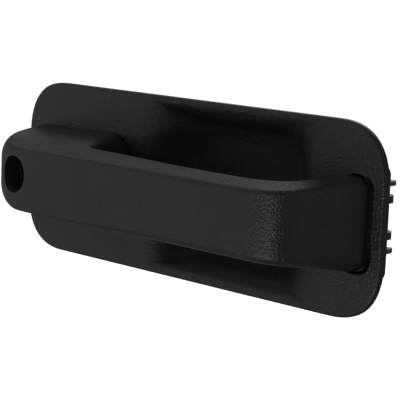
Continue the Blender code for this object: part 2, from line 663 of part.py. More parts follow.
def main():
    clear_scene()
    make_bezel()
    make_gasket()
    make_studs_and_nuts()
    make_bumpers()
    make_hinge_bracket()
    make_hinge_pin()
    make_hinge_screws()
    make_lever_bracket()
    make_lever_screws()
    make_lever_pin()
    make_return_spring()
    grip_pieces = [make_grip_shell(), make_grip_back(), make_lock_sleeve(), make_pull_leg()]
    grip_pieces += make_leg_screws() + make_bushings()
    hang_on(make_pivot("grip_hinge", HINGE_X, HINGE_Y, 0.0), grip_pieces)
    hang_on(make_pivot("lever_pivot", 0.0, LEVER_Y, LEVER_Z), [make_bellcrank(), make_rod_clip()])


main()
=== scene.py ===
"""The looks of an exterior vehicle door handle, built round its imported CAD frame.

The two large mouldings are rebuilt here as fine smooth meshes, and the small parts behind them get softened
edges, threads and screw recesses. All the shapes are in millimetres, and MM turns them into metres.
"""

import json
import math

import bmesh
import bpy
import numpy as np
from mathutils import Matrix, Vector


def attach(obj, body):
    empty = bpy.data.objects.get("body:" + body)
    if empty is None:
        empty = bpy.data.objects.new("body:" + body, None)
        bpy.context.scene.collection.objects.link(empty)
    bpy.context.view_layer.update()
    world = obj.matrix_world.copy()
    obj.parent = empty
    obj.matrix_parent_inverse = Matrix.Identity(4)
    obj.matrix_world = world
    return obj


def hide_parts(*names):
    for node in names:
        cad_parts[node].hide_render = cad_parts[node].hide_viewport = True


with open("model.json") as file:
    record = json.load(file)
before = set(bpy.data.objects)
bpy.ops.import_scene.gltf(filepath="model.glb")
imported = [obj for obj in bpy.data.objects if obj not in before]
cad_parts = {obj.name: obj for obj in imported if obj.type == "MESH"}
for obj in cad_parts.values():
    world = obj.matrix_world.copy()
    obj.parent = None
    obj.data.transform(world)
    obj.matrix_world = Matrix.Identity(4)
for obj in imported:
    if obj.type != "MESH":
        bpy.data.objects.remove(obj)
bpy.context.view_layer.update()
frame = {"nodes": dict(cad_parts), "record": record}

MM = 0.001
GAP = 0.3

# Camera.
CAMERA_SPOT = (0.60933, -0.58298, 0.11715)
CAMERA_AZIMUTH = 46.0
CAMERA_ELEVATION = 8.28
CAMERA_ROLL = 2.417
CAMERA_LENS = 144.4
CAMERA_SENSOR = 36.0
CAMERA_SHIFT_UP = 0.0012

# Escutcheon.
PLATE_HALF_WIDTH = 135.0
PLATE_HALF_HEIGHT = 48.4
PLATE_CORNER_RADIUS = 32.9
PLATE_CORNER_POWER = 2.57
PLATE_THICKNESS = 3.2
PLATE_RIM = ((0.0, 1.6), (0.08, 1.05), (0.3, 0.6), (0.9, 0.1), (1.7, 0.0), (2.9, 0.0), (PLATE_THICKNESS, 0.3))
FACE_Y = -5.2
PLATE_BACK_Y = FACE_Y + PLATE_THICKNESS
RECESS = (-33.5, 91.5, -45.4, 46.6)
RECESS_CORNER_RADIUS = 9.0
# Each step of the recess: its depth below the face, and how far in it is from the mouth along X and along Z.
RECESS_INNER_STEPS = (
    (-1.0, -7.0, -0.2), (0.0, -7.0, -0.2), (0.25, -3.0, 1.2), (0.75, 0.5, 2.6), (1.6, 4.0, 4.1),
    (3.0, 8.0, 5.7), (5.2, 12.0, 7.4), (9.0, 16.0, 9.4), (13.0, 19.5, 11.6), (15.8, 23.0, 14.4),
    (17.1, 27.0, 17.8), (17.5, 31.0, 21.5),
)
RECESS_OUTER_STEPS = (
    (2.0, -5.0, 0.6), (3.0, -1.0, 1.8), (4.0, 3.0, 3.0), (5.5, 7.0, 4.3), (7.7, 11.0, 5.8), (11.5, 14.0, 7.6),
    (15.5, 17.0, 9.8), (18.3, 20.5, 12.6), (19.6, 25.0, 16.2), (20.0, 29.0, 20.0),
)
# The plastic's sheen from the escutcheon's face (0.5) down into the recess, lowered to keep it dark: painted
# shade in the recess.
RECESS_PAINTED_SHADE_Y = (FACE_Y + 0.1, FACE_Y + 3.5)
RECESS_SHEEN = (0.5, 0.32)
SLOT = (108.0, 128.3, -24.9, 23.0)
SLOT_CORNER_RADIUS = 7.5
LEG_OPENING = (-101.0, -55.0, -9.5, 9.5)
LEG_OPENING_CORNER_RADIUS = 5.0
# How an opening's edge is rounded: the depth below the face, and how much wider the opening is there.
OPENING_EDGE = ((-1.0, 0.6), (0.0, 0.3), (0.12, 0.12), (0.3, 0.03), (0.6, 0.0), (PLATE_THICKNESS + 1.0, 0.0))
STUD_POSITIONS = ((-117.0, 26.0), (-117.0, -26.0), (106.0, 34.5), (106.0, -34.5))
STUD_BOSS_RADIUS = 7.0
STUD_COLLAR_RADIUS = 4.2
HINGE_SCREWS = ((99.0, 22.5), (99.0, -22.5))
HINGE_SEAT_Y = (2.6, 4.8)
LEVER_SCREWS = ((-78.0, -30.0), (-42.5, -22.0))
LEVER_SEAT_Y = (0.8, 2.8)
LEG_SCREWS = ((-62.0, 12.5), (-62.0, -12.5))
BUMPER_POSITIONS = ((-73.5, 14.0), (-73.5, -14.0))
SCREW_RADIUS = 1.5

# Grip: half heights above and below its middle. Where they are pairs, the inner and the outer side differ.
LEFT_FOOT_TOP = (24.8, 23.3)
LEFT_FOOT_BOTTOM = (24.0, 23.6)
RIGHT_END_TOP = (22.5, 22.5)
RIGHT_END_BOTTOM = (24.4, 24.2)
STRAP_REAR = 32.0
STRAP_FRONT = 44.0
STRAP_REAR_TOP = 19.6
STRAP_REAR_BOTTOM = 20.5
STRAP_TOP_CREASE = 14.5
STRAP_BOTTOM_CREASE = 19.8
GRIP_REST_GAP = 1.1
# Each station: an inner and an outer point of the plan as (x, distance out), then three corner radii.
LEFT_FOOT = (
    ((-46.0, GRIP_REST_GAP), (-130.0, GRIP_REST_GAP), 14.0, 12.0, 12.0),
    ((-46.3, 10.0), (-128.8, 11.0), 12.0, 12.0, 12.5),
    ((-46.4, 18.0), (-126.4, 20.6), 9.0, 12.0, 13.5),
    ((-45.6, 24.0), (-122.4, 27.8), 7.0, 12.0, 14.5),
    ((-43.8, 27.6), (-116.8, 33.7), 5.0, 11.0, 14.5),
    ((-40.6, 30.0), (-110.2, 38.7), 4.0, 9.0, 13.0),
    ((-35.8, 31.4), (-102.8, 42.3), 3.0, 6.5, 10.0),
)
STRAP = (
    ((-28.0, 32.0), (-93.0, 44.0), 2.5, 4.0, 6.5),
    ((-20.0, 32.0), (-70.0, 44.0), 2.5, 3.5, 5.0),
    ((-5.0, 32.0), (-30.0, 44.0), 2.5, 3.0, 5.0),
    ((15.0, 32.0), (6.0, 44.0), 2.5, 3.0, 5.0),
    ((45.0, 32.0), (42.0, 44.0), 2.5, 3.0, 5.0),
    ((78.0, 32.0), (80.0, 44.0), 2.5, 3.0, 5.0),
)
# The bend's stations also give the height of the outer top edge.
RIGHT_BEND = (
    ((86.0, 31.7), (92.0, 43.6), 2.5, 3.0, 5.0, 14.8),
    ((92.0, 30.2), (99.6, 42.0), 2.5, 3.0, 5.0, 15.2),
    ((96.6, 27.8), (105.6, 38.6), 2.5, 3.0, 5.0, 15.6),
    ((99.6, 24.6), (109.8, 33.6), 2.5, 3.2, 5.5, 16.0),
    ((101.6, 21.0), (112.4, 27.6), 2.5, 3.6, 6.0, 16.6),
    ((103.2, 17.0), (113.9, 21.2), 2.5, 4.2, 6.0, 17.4),
    ((104.9, 13.0), (115.4, 15.0), 2.5, 4.8, 6.5, 18.4),
    ((107.2, 9.2), (117.6, 9.4), 2.5, 5.4, 7.0, 19.6),
    ((110.2, 5.7), (120.2, 4.8), 1.4, 6.0, 7.6, 20.8),
    ((113.0, 2.6), (122.6, 1.4), 1.2, 6.4, 7.8, 21.8),
    ((114.6, -0.6), (124.0, -1.2), 1.2, 6.6, 7.8, 22.3),
    ((115.0, -4.4), (124.2, -4.8), 1.2, 6.6, 7.8, 22.3),
)
CHANNEL = (-24.0, 82.0, -16.5, 13.0)
CHANNEL_FLOOR = 40.5
# The hollow in the grip's left end, at each distance out: left and right ends, half height and radius.
POCKET_STEPS = (
    (-1.0, -125.0, -53.0, 20.6, 7.0), (20.0, -120.5, -54.0, 17.5, 6.5), (34.6, -110.0, -55.0, 14.6, 5.0),
)
POCKET_FLOOR_Y = FACE_Y - POCKET_STEPS[-1][0]
FOOT_FRONT_Y = FACE_Y - 7.0
BORE_X = -93.3
BORE_PROFILE = (
    (11.6, -1.0), (11.0, 0.0), (10.62, 0.15), (10.3, 0.45), (10.08, 0.9), (9.95, 1.4), (7.6, 8.8), (7.5, 9.1),
    (7.5, 11.0),
)
HINGE_X = 110.0
HINGE_Y = 18.8
KNUCKLE_RADIUS = 8.5
KNUCKLE_Z = (7.2, 10.8)

# Fixings.
THREAD_PITCH = 1.0
THREAD_DEPTH = 0.32
STUD_RADIUS = 3.0
STUD_END_Y = 16.0
LEVER_Y = 11.7
LEVER_Z = -28.75
SPRING_RADIUS = 4.1
SPRING_WIRE = 0.5
SPRING_TURNS = 3.25

BODY_OF = {node: body for body, nodes in frame["record"]["behaviour"]["bodies"].items() for node in nodes}
SLOT_OF = {row["node"]: row["material_slot"] for row in frame["record"]["subparts"]}


# Geometry helpers.


def make_mesh_object(name, builder):
    """An object from bmesh geometry in millimetres, with every face turned outwards."""
    bmesh.ops.recalc_face_normals(builder, faces=builder.faces)
    bmesh.ops.scale(builder, vec=(MM, MM, MM), verts=builder.verts)
    mesh = bpy.data.meshes.new(name)
    builder.to_mesh(mesh)
    builder.free()
    made = bpy.data.objects.new(name, mesh)
    bpy.context.scene.collection.objects.link(made)
    return made


def loft(name, rings, closed=False):
    """A solid through rings of points. Its ends are capped, or its last ring joins its first when closed."""
    builder = bmesh.new()
    loops = [[builder.verts.new(point) for point in ring] for ring in rings]
    pairs = list(zip(loops, loops[1:]))
    if closed:
        pairs.append((loops[-1], loops[0]))
    for first, second in pairs:
        count = len(first)
        for index in range(count):
            after = (index + 1) % count
            builder.faces.new((first[index], first[after], second[after], second[index]))
    if not closed:
        builder.faces.new(loops[0])
        builder.faces.new(loops[-1])
    return make_mesh_object(name, builder)


def fillet_polygon(corners, radii, steps):
    """The corners of a polygon, each replaced by an arc with its own radius and that many steps."""
    points = []
    count = len(corners)
    for index, radius in enumerate(radii):
        corner = Vector(corners[index])
        before = (Vector(corners[index - 1]) - corner).normalized()
        after = (Vector(corners[(index + 1) % count]) - corner).normalized()
        half_angle = before.angle(after) / 2
        reach = radius / math.tan(half_angle)
        centre = corner + (before + after).normalized() * (radius / math.sin(half_angle))
        start = corner + before * reach - centre
        end = corner + after * reach - centre
        sweep = start.angle(end)
        for step in range(steps + 1):
            share = step / steps
            weight_start = math.sin((1 - share) * sweep) / math.sin(sweep)
            weight_end = math.sin(share * sweep) / math.sin(sweep)
            points.append(tuple(centre + start * weight_start + end * weight_end))
    return points


def rounded_rectangle(left, right, bottom, top, radius, steps=12):
    corners = ((left, bottom), (right, bottom), (right, top), (left, top))
    return fillet_polygon(corners, (radius,) * 4, steps)


def slab(name, outline, front, rear):
    return loft(name, [[(x, y, z) for x, z in outline] for y in (front, rear)])


def turned(name, profile, base, axis, segments=32):
    """A turned solid: (radius, distance) pairs about an axis."""
    turn = Vector((0, 0, 1)).rotation_difference(Vector(axis)).to_matrix()
    rings = []
    for radius, distance in profile:
        ring = []
        for index in range(segments):
            angle = 2 * math.pi * index / segments
            spot = Vector((radius * math.cos(angle), radius * math.sin(angle), distance))
            ring.append(tuple(turn @ spot + Vector(base)))
        rings.append(ring)
    return loft(name, rings)


def column(x, z, front, rear, radius, segments=28):
    return turned("column", ((radius, 0.0), (radius, rear - front)), (x, front, z), (0, 1, 0), segments)


def merged(pieces):
    """One object from several that don't touch each other."""
    builder = bmesh.new()
    for piece in pieces:
        builder.from_mesh(piece.data)
        bpy.data.objects.remove(piece)
    mesh = bpy.data.meshes.new("tools")
    builder.to_mesh(mesh)
    builder.free()
    made = bpy.data.objects.new("tools", mesh)
    bpy.context.scene.collection.objects.link(made)
    return made


def combine(target, tool, operation):
    """Applies one exact Boolean, and removes the tool."""
    modifier = target.modifiers.new(operation, "BOOLEAN")
    modifier.operation = operation
    modifier.solver = "EXACT"
    modifier.object = tool
    graph = bpy.context.evaluated_depsgraph_get()
    finished = bpy.data.meshes.new_from_object(target.evaluated_get(graph))
    target.modifiers.clear()
    target.data = finished
    bpy.data.objects.remove(tool)


def cut(target, *tools):
    combine(target, merged(tools), "DIFFERENCE")


def join(target, *tools):
    combine(target, merged(tools), "UNION")


def smooth_rows(rows, between, smoothing=0):
    """More rows of numbers along the given ones, on a smooth curve that never overshoots them."""
    values = np.array(rows, dtype=float)
    places = np.concatenate([[0.0], np.cumsum(np.linalg.norm(np.diff(values[:, :4], axis=0), axis=1))])
    spans = np.diff(places)[:, None]
    slopes = np.diff(values, axis=0) / spans
    tangents = np.zeros_like(values)
    tangents[0] = slopes[0]
    tangents[-1] = slopes[-1]
    same_way = slopes[:-1] * slopes[1:] > 0
    weight_before = 2 * spans[1:] + spans[:-1]
    weight_after = spans[1:] + 2 * spans[:-1]
    with np.errstate(divide="ignore", invalid="ignore"):
        mean = (weight_before + weight_after) / (weight_before / slopes[:-1] + weight_after / slopes[1:])
    tangents[1:-1] = np.where(same_way, mean, 0.0)
    made = []
    for index, span in enumerate(spans[:, 0]):
        for step in range(between):
            t = step / between
            made.append(
                (2 * t**3 - 3 * t**2 + 1) * values[index]
                + (t**3 - 2 * t**2 + t) * span * tangents[index]
                + (3 * t**2 - 2 * t**3) * values[index + 1]
                + (t**3 - t**2) * span * tangents[index + 1]
            )
    made.append(values[-1])
    made = np.array(made)
    for _ in range(smoothing):
        made[1:-1] = 0.25 * made[:-2] + 0.5 * made[1:-1] + 0.25 * made[2:]
    return [list(row) for row in made]


def finish_piece(piece, node, edge_angle=35.0):
    """Smooth shading, and the CAD node that the piece stands for."""
    piece.data.shade_smooth()
    piece.data.set_sharp_from_angle(angle=math.radians(edge_angle))
    normals = piece.modifiers.new("even_normals", "WEIGHTED_NORMAL")
    normals.keep_sharp = True
    piece.name = "fine_" + node
    piece.data.materials.clear()
    piece.data.materials.append(MATERIALS[SLOT_OF[node]])
    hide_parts(node)
    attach(piece, BODY_OF[node])


# Materials. Lengths in the textures come from object coordinates, which are metres.


def start_material(name, colour, roughness, metallic=0.0):
    made = bpy.data.materials.new(name)
    made.use_nodes = True
    tree = made.node_tree
    shader = tree.nodes["Principled BSDF"]
    shader.inputs["Base Color"].default_value = (*colour, 1.0)
    shader.inputs["Roughness"].default_value = roughness
    shader.inputs["Metallic"].default_value = metallic
    return made, tree, shader


def add_noise(tree, per_metre, detail=2.0, stretch=(1.0, 1.0, 1.0)):
    """Noise with that many features a metre, stretched along the axes."""
    place = tree.nodes.new("ShaderNodeTexCoord")
    mapping = tree.nodes.new("ShaderNodeMapping")
    mapping.inputs["Scale"].default_value = stretch
    noise = tree.nodes.new("ShaderNodeTexNoise")
    noise.inputs["Scale"].default_value = per_metre
    noise.inputs["Detail"].default_value = detail
    tree.links.new(place.outputs["Object"], mapping.inputs["Vector"])
    tree.links.new(mapping.outputs["Vector"], noise.inputs["Vector"])
    return noise.outputs["Fac"]


def add_cells(tree, per_metre):
    """Rounded cells, for the pebbled grain of a moulded surface."""
    place = tree.nodes.new("ShaderNodeTexCoord")
    cells = tree.nodes.new("ShaderNodeTexVoronoi")
    cells.feature = "SMOOTH_F1"
    cells.inputs["Scale"].default_value = per_metre
    cells.inputs["Smoothness"].default_value = 0.6
    tree.links.new(place.outputs["Object"], cells.inputs["Vector"])
    return cells.outputs["Distance"]


def mottle(tree, shader, source, dark, light, low=0.3, high=0.7):
    """The base colour goes from dark to light with the source."""
    ramp = tree.nodes.new("ShaderNodeValToRGB")
    ramp.color_ramp.elements[0].position = low
    ramp.color_ramp.elements[0].color = (*dark, 1.0)
    ramp.color_ramp.elements[1].position = high
    ramp.color_ramp.elements[1].color = (*light, 1.0)
    tree.links.new(source, ramp.inputs["Fac"])
    tree.links.new(ramp.outputs["Color"], shader.inputs["Base Color"])


def vary_roughness(tree, shader, source, low, high):
    spread = tree.nodes.new("ShaderNodeMapRange")
    spread.inputs["From Min"].default_value = 0.3
    spread.inputs["From Max"].default_value = 0.7
    spread.inputs["To Min"].default_value = low
    spread.inputs["To Max"].default_value = high
    tree.links.new(source, spread.inputs["Value"])
    tree.links.new(spread.outputs["Result"], shader.inputs["Roughness"])


def add_bump(tree, shader, source, height, strength=1.0, under=None):
    """Bumps of that height in metres, over another bump if one is given."""
    bump = tree.nodes.new("ShaderNodeBump")
    bump.inputs["Distance"].default_value = height
    bump.inputs["Strength"].default_value = strength
    tree.links.new(source, bump.inputs["Height"])
    if under:
        tree.links.new(under.outputs["Normal"], bump.inputs["Normal"])
    tree.links.new(bump.outputs["Normal"], shader.inputs["Normal"])
    return bump


def painted_shade_by_depth(tree, shader, depths, sheens):
    """Lowers the sheen between two depths along Y, as painted shade for the recess.

    This is a tuning and not a property of the plastic: with an even sheen the recess came out too light, so
    the lowered sheen paints in the shade that the real recess's shape and light may give. It also dulls
    whatever else lies that deep, such as the escutcheon's back.
    """
    place = tree.nodes.new("ShaderNodeTexCoord")
    split = tree.nodes.new("ShaderNodeSeparateXYZ")
    spread = tree.nodes.new("ShaderNodeMapRange")
    spread.interpolation_type = "SMOOTHSTEP"
    spread.inputs["From Min"].default_value = depths[0] * MM
    spread.inputs["From Max"].default_value = depths[1] * MM
    spread.inputs["To Min"].default_value = sheens[0]
    spread.inputs["To Max"].default_value = sheens[1]
    tree.links.new(place.outputs["Object"], split.inputs["Vector"])
    tree.links.new(split.outputs["Y"], spread.inputs["Value"])
    tree.links.new(spread.outputs["Result"], shader.inputs["Specular IOR Level"])


def textured_plastic():
    """Black plastic with a fine pebbled grain and a slightly uneven sheen."""
    made, tree, shader = start_material("textured_plastic", (0.007, 0.0068, 0.0066), 0.42)
    grain = add_cells(tree, 1500.0)
    speckle = add_noise(tree, 900.0, 3.0)
    patches = add_noise(tree, 35.0, 3.0)
    mottle(tree, shader, speckle, (0.0060, 0.0057, 0.0054), (0.0090, 0.0086, 0.0083), 0.35, 0.7)
    vary_roughness(tree, shader, patches, 0.39, 0.45)
    coarse = add_bump(tree, shader, speckle, 0.0005, 0.8)
    add_bump(tree, shader, grain, 0.00016, 0.8, coarse)
    # Painted shade: the sheen drops with depth, so the recess comes out darker.
    painted_shade_by_depth(tree, shader, RECESS_PAINTED_SHADE_Y, RECESS_SHEEN)
    return made


def bracket_plastic():
    """Plain black glass-filled plastic, with faint flow lines from moulding."""
    made, tree, shader = start_material("bracket_plastic", (0.03, 0.03, 0.029), 0.5)
    flow = add_noise(tree, 120.0, 4.0, (1.0, 1.0, 0.25))
    fibres = add_noise(tree, 2200.0, 2.0, (0.3, 1.0, 1.0))
    mottle(tree, shader, flow, (0.022, 0.022, 0.021), (0.036, 0.036, 0.035))
    vary_roughness(tree, shader, flow, 0.42, 0.56)
    add_bump(tree, shader, fibres, 0.00006, 0.5)
    return made


def seal_rubber():
    made, tree, shader = start_material("seal_rubber", (0.012, 0.012, 0.012), 0.8)
    bloom = add_noise(tree, 160.0, 4.0)
    skin = add_noise(tree, 1800.0, 2.0)
    mottle(tree, shader, bloom, (0.010, 0.010, 0.010), (0.019, 0.019, 0.018))
    vary_roughness(tree, shader, bloom, 0.72, 0.88)
    add_bump(tree, shader, skin, 0.00005, 0.5)
    return made


def acetal():
    made, tree, shader = start_material("acetal", (0.74, 0.73, 0.68), 0.38)
    shader.inputs["Subsurface Weight"].default_value = 0.15
    shader.inputs["Subsurface Radius"].default_value = (0.002, 0.002, 0.0015)
    clouds = add_noise(tree, 300.0, 3.0)
    mottle(tree, shader, clouds, (0.70, 0.69, 0.63), (0.78, 0.77, 0.73))
    vary_roughness(tree, shader, clouds, 0.33, 0.45)
    add_bump(tree, shader, clouds, 0.00003, 0.4)
    return made


def zinc_plated_steel():
    """Bright zinc plating: pale, slightly warm in patches, with a fine satin grain."""
    made, tree, shader = start_material("zinc_plated_steel", (0.6, 0.6, 0.57), 0.32, 1.0)
    tint = add_noise(tree, 220.0, 3.0)
    grain = add_noise(tree, 2600.0, 2.0)
    mottle(tree, shader, tint, (0.50, 0.51, 0.51), (0.68, 0.66, 0.60))
    vary_roughness(tree, shader, tint, 0.26, 0.42)
    add_bump(tree, shader, grain, 0.00002, 0.5)
    return made


def bright_steel():
    """Ground steel, with marks round the pins."""
    made, tree, shader = start_material("bright_steel", (0.66, 0.66, 0.65), 0.22, 1.0)
    marks = add_noise(tree, 3000.0, 3.0, (0.05, 0.05, 1.0))
    mottle(tree, shader, marks, (0.58, 0.58, 0.57), (0.70, 0.70, 0.69))
    vary_roughness(tree, shader, marks, 0.16, 0.30)
    add_bump(tree, shader, marks, 0.00001, 0.5)
    return made


def spring_steel():
    made, tree, shader = start_material("spring_steel", (0.36, 0.36, 0.36), 0.3, 1.0)
    draw = add_noise(tree, 1400.0, 3.0)
    mottle(tree, shader, draw, (0.28, 0.28, 0.285), (0.42, 0.42, 0.415))
    vary_roughness(tree, shader, draw, 0.24, 0.40)
    add_bump(tree, shader, draw, 0.00001, 0.5)
    return made


def die_cast_zinc():
    """Bare die-cast zinc: dull grey, cloudy, with a fine orange-peel skin."""
    made, tree, shader = start_material("die_cast_zinc", (0.42, 0.42, 0.41), 0.45, 1.0)
    clouds = add_noise(tree, 90.0, 5.0)
    skin = add_noise(tree, 1200.0, 3.0)
    mottle(tree, shader, clouds, (0.33, 0.335, 0.34), (0.48, 0.475, 0.46))
    vary_roughness(tree, shader, clouds, 0.38, 0.56)
    add_bump(tree, shader, skin, 0.00006, 0.5)
    return made


MATERIALS = {
    maker.__name__: maker()
    for maker in (
        textured_plastic, bracket_plastic, seal_rubber, acetal, zinc_plated_steel, bright_steel, spring_steel,
        die_cast_zinc,
    )
}


# The escutcheon.


def plate_outline(inset, steps=24):
    """The escutcheon's outline: straight sides joined by slightly squared corners."""
    radius = PLATE_CORNER_RADIUS - inset
    centre_x = PLATE_HALF_WIDTH - PLATE_CORNER_RADIUS
    centre_z = PLATE_HALF_HEIGHT - PLATE_CORNER_RADIUS
    power = 2 / PLATE_CORNER_POWER
    quarter = []
    for step in range(steps + 1):
        angle = math.pi / 2 * step / steps
        quarter.append((radius * abs(math.cos(angle)) ** power, radius * math.sin(angle) ** power))
    points = [(centre_x + x, centre_z + z) for x, z in quarter]
    points += [(-centre_x - x, centre_z + z) for x, z in reversed(quarter)]
    points += [(-centre_x - x, -centre_z - z) for x, z in quarter]
    points += [(centre_x + x, -centre_z - z) for x, z in reversed(quarter)]
    return points


def recess_rings(steps):
    """The rings of the finger recess, from its mouth to its floor."""
    left, right, bottom, top = RECESS
    rings = []
    for depth, inset_x, inset_z in steps:
        outline = rounded_rectangle(
            left + inset_x, right - inset_x, bottom + inset_z, top - inset_z,
            RECESS_CORNER_RADIUS + 0.5 * inset_x,
        )
        rings.append([(x, FACE_Y + depth, z) for x, z in outline])
    return rings


def opening_tool(limits, radius):
    """A cutter that leaves a rounded edge at the escutcheon's face."""
    left, right, bottom, top = limits
    rings = []
    for depth, wider in OPENING_EDGE:
        outline = rounded_rectangle(left - wider, right + wider, bottom - wider, top + wider, radius + wider)
        rings.append([(x, FACE_Y + depth, z) for x, z in outline])
    return loft("opening", rings)


def make_bezel():
    rings = [[(x, FACE_Y + depth, z) for x, z in plate_outline(inset)] for depth, inset in PLATE_RIM]
    bezel = loft("bezel", rings)
    root = PLATE_BACK_Y - 1.0
    join(bezel, loft("recess_outside", recess_rings(smooth_rows(RECESS_OUTER_STEPS, 3))))
    join(
        bezel,
        *(column(x, z, root, 0.0, STUD_BOSS_RADIUS) for x, z in STUD_POSITIONS),
        *(column(x, z, root, HINGE_SEAT_Y[0] - GAP, 4.0) for x, z in HINGE_SCREWS),
        *(column(x, z, root, LEVER_SEAT_Y[0] - GAP, 4.0) for x, z in LEVER_SCREWS),
    )
    cut(bezel, loft("recess_inside", recess_rings(smooth_rows(RECESS_INNER_STEPS, 3))))
    cut(
        bezel,
        opening_tool(SLOT, SLOT_CORNER_RADIUS),
        opening_tool(LEG_OPENING, LEG_OPENING_CORNER_RADIUS),
        *(column(x, z, PLATE_BACK_Y - 1.6, 1.0, STUD_COLLAR_RADIUS + GAP) for x, z in STUD_POSITIONS),
        *(column(x, z, PLATE_BACK_Y - 1.4, 4.0, SCREW_RADIUS + GAP) for x, z in HINGE_SCREWS + LEVER_SCREWS),
        *(column(x, z, FACE_Y - 1.0, PLATE_BACK_Y + 1.0, 2.0 + GAP) for x, z in BUMPER_POSITIONS),
    )
    finish_piece(bezel, "bezel")


# The grip.


def half_height(out, at_plate, at_rear, at_front):
    """How far a side of the grip is from its middle height, at a distance out from the escutcheon's face."""
    if out <= STRAP_REAR:
        return at_plate + (at_rear - at_plate) * max(out, 0.0) / STRAP_REAR
    return at_rear + (at_front - at_rear) * (out - STRAP_REAR) / (STRAP_FRONT - STRAP_REAR)


def station_row(inner, outer, inner_radius, top_radius, bottom_radius, foot_top, foot_bottom, outer_top=None):
    """A station of the grip as plain numbers: two plan points, two tops, two bottoms and three radii."""
    outs = (inner[1], outer[1])
    tops = [half_height(out, foot, STRAP_REAR_TOP, STRAP_TOP_CREASE) for out, foot in zip(outs, foot_top)]
    bottoms = [
        half_height(out, foot, STRAP_REAR_BOTTOM, STRAP_BOTTOM_CREASE) for out, foot in zip(outs, foot_bottom)
    ]
    if outer_top is not None:
        tops[1] = outer_top
    return (*inner, *outer, *tops, *bottoms, inner_radius, top_radius, bottom_radius)


def section_ring(row):
    """One cross-section of the grip from a station's numbers."""
    inner_x, inner_out, outer_x, outer_out = row[:4]
    top_inner, top_outer, bottom_inner, bottom_outer = row[4:8]
    inner_radius, top_radius, bottom_radius = row[8:]
    inner = Vector((inner_x, FACE_Y - inner_out))
    outer = Vector((outer_x, FACE_Y - outer_out))
    width = (outer - inner).length
    along = (outer - inner) / width
    corners = ((0.0, -bottom_inner), (width, -bottom_outer), (width, top_outer), (0.0, top_inner))
    outline = fillet_polygon(corners, (inner_radius, bottom_radius, top_radius, inner_radius), 8)
    return [(inner.x + along.x * u, inner.y + along.y * u, v) for u, v in outline]


def grip_rings():
    rows = [station_row(*s, foot_top=LEFT_FOOT_TOP, foot_bottom=LEFT_FOOT_BOTTOM) for s in LEFT_FOOT + STRAP]
    rows += [
        station_row(*s, foot_top=RIGHT_END_TOP, foot_bottom=RIGHT_END_BOTTOM, outer_top=outer_top)
        for *s, outer_top in RIGHT_BEND
    ]
    return [section_ring(row) for row in smooth_rows(rows, 4, 6)]


def knuckle(low, high):
    """A hinge lug, from the grip's right end back to a round eye about the hinge pin."""
    points = []
    for step in range(25):
        angle = math.radians(-20 + 220 * step / 24)
        points.append((
            HINGE_X + KNUCKLE_RADIUS * math.cos(angle),
            HINGE_Y + KNUCKLE_RADIUS * math.sin(angle),
        ))
    points += [(115.5, FACE_Y + 3.0), (123.5, FACE_Y + 3.0)]
    return loft("knuckle", [[(x, y, z) for x, y in points] for z in (low, high)])


def pocket_tool():
    """The hollow inside the grip's left end, open towards the escutcheon."""
    rings = []
    for out, left, right, half, radius in POCKET_STEPS:
        outline = rounded_rectangle(left, right, -half, half, radius)
        rings.append([(x, FACE_Y - out, z) for x, z in outline])
    return loft("pocket", rings)


def make_grip_shell():
    grip = loft("grip_shell", grip_rings())
    join(grip, knuckle(*KNUCKLE_Z), knuckle(-KNUCKLE_Z[1], -KNUCKLE_Z[0]))
    left, right, bottom, top = CHANNEL
    channel_outline = rounded_rectangle(left, right, bottom, top, 3.0)
    cut(
        grip,
        turned("pin_hole", ((4.3, -20.0), (4.3, 20.0)), (HINGE_X, HINGE_Y, 0), (0, 0, 1)),
        slab("channel", channel_outline, FACE_Y - CHANNEL_FLOOR, FACE_Y - STRAP_REAR + 3.0),
        pocket_tool(),
    )
    join(grip, *(column(x, z, POCKET_FLOOR_Y - 1.0, FOOT_FRONT_Y - GAP, 3.6) for x, z in LEG_SCREWS))
    cut(
        grip,
        *(column(x, z, FACE_Y - 22.0, FACE_Y, SCREW_RADIUS + GAP) for x, z in LEG_SCREWS),
        turned("bore", BORE_PROFILE, (BORE_X, FACE_Y - STRAP_FRONT, 0), (0, 1, 0), 64),
    )
    finish_piece(grip, "grip_shell")


# Fixings and the parts behind the escutcheon.


def thread_radius(distance, angle, start, end, radius):
    """The radius of a threaded rod at a place along it and round it. The thread fades in and out."""
    turn = distance / THREAD_PITCH - angle / (2 * math.pi)
    wave = abs(2 * (turn % 1.0) - 1)
    fade = max(0.0, min(1.0, (distance - start) / THREAD_PITCH, (end - distance) / THREAD_PITCH))
    return radius - THREAD_DEPTH * fade * (1 - wave)


def make_stud(number, x, z):
    """A stud with a collar held in its boss and an M6 thread."""
    front = PLATE_BACK_Y - 1.3
    steps = int((STUD_END_Y - 1.2) / THREAD_PITCH * 8)
    rows = [(STUD_COLLAR_RADIUS, front, False), (STUD_COLLAR_RADIUS, 0.0, False), (STUD_RADIUS, 0.0, False)]
    rows += [(STUD_RADIUS, 0.3 + step / 8 * THREAD_PITCH, True) for step in range(steps - 2)]
    rows += [(STUD_RADIUS - 0.35, STUD_END_Y - 0.7, False), (STUD_RADIUS - 1.0, STUD_END_Y, False)]
    rings = []
    for radius, y, threaded in rows:
        ring = []
        for index in range(24):
            angle = 2 * math.pi * index / 24
            here = thread_radius(y, angle, 0.5, STUD_END_Y - 1.0, radius) if threaded else radius
            ring.append((x + here * math.cos(angle), y, z + here * math.sin(angle)))
        rings.append(ring)
    finish_piece(loft("stud", rings), f"stud_{number}", 60.0)


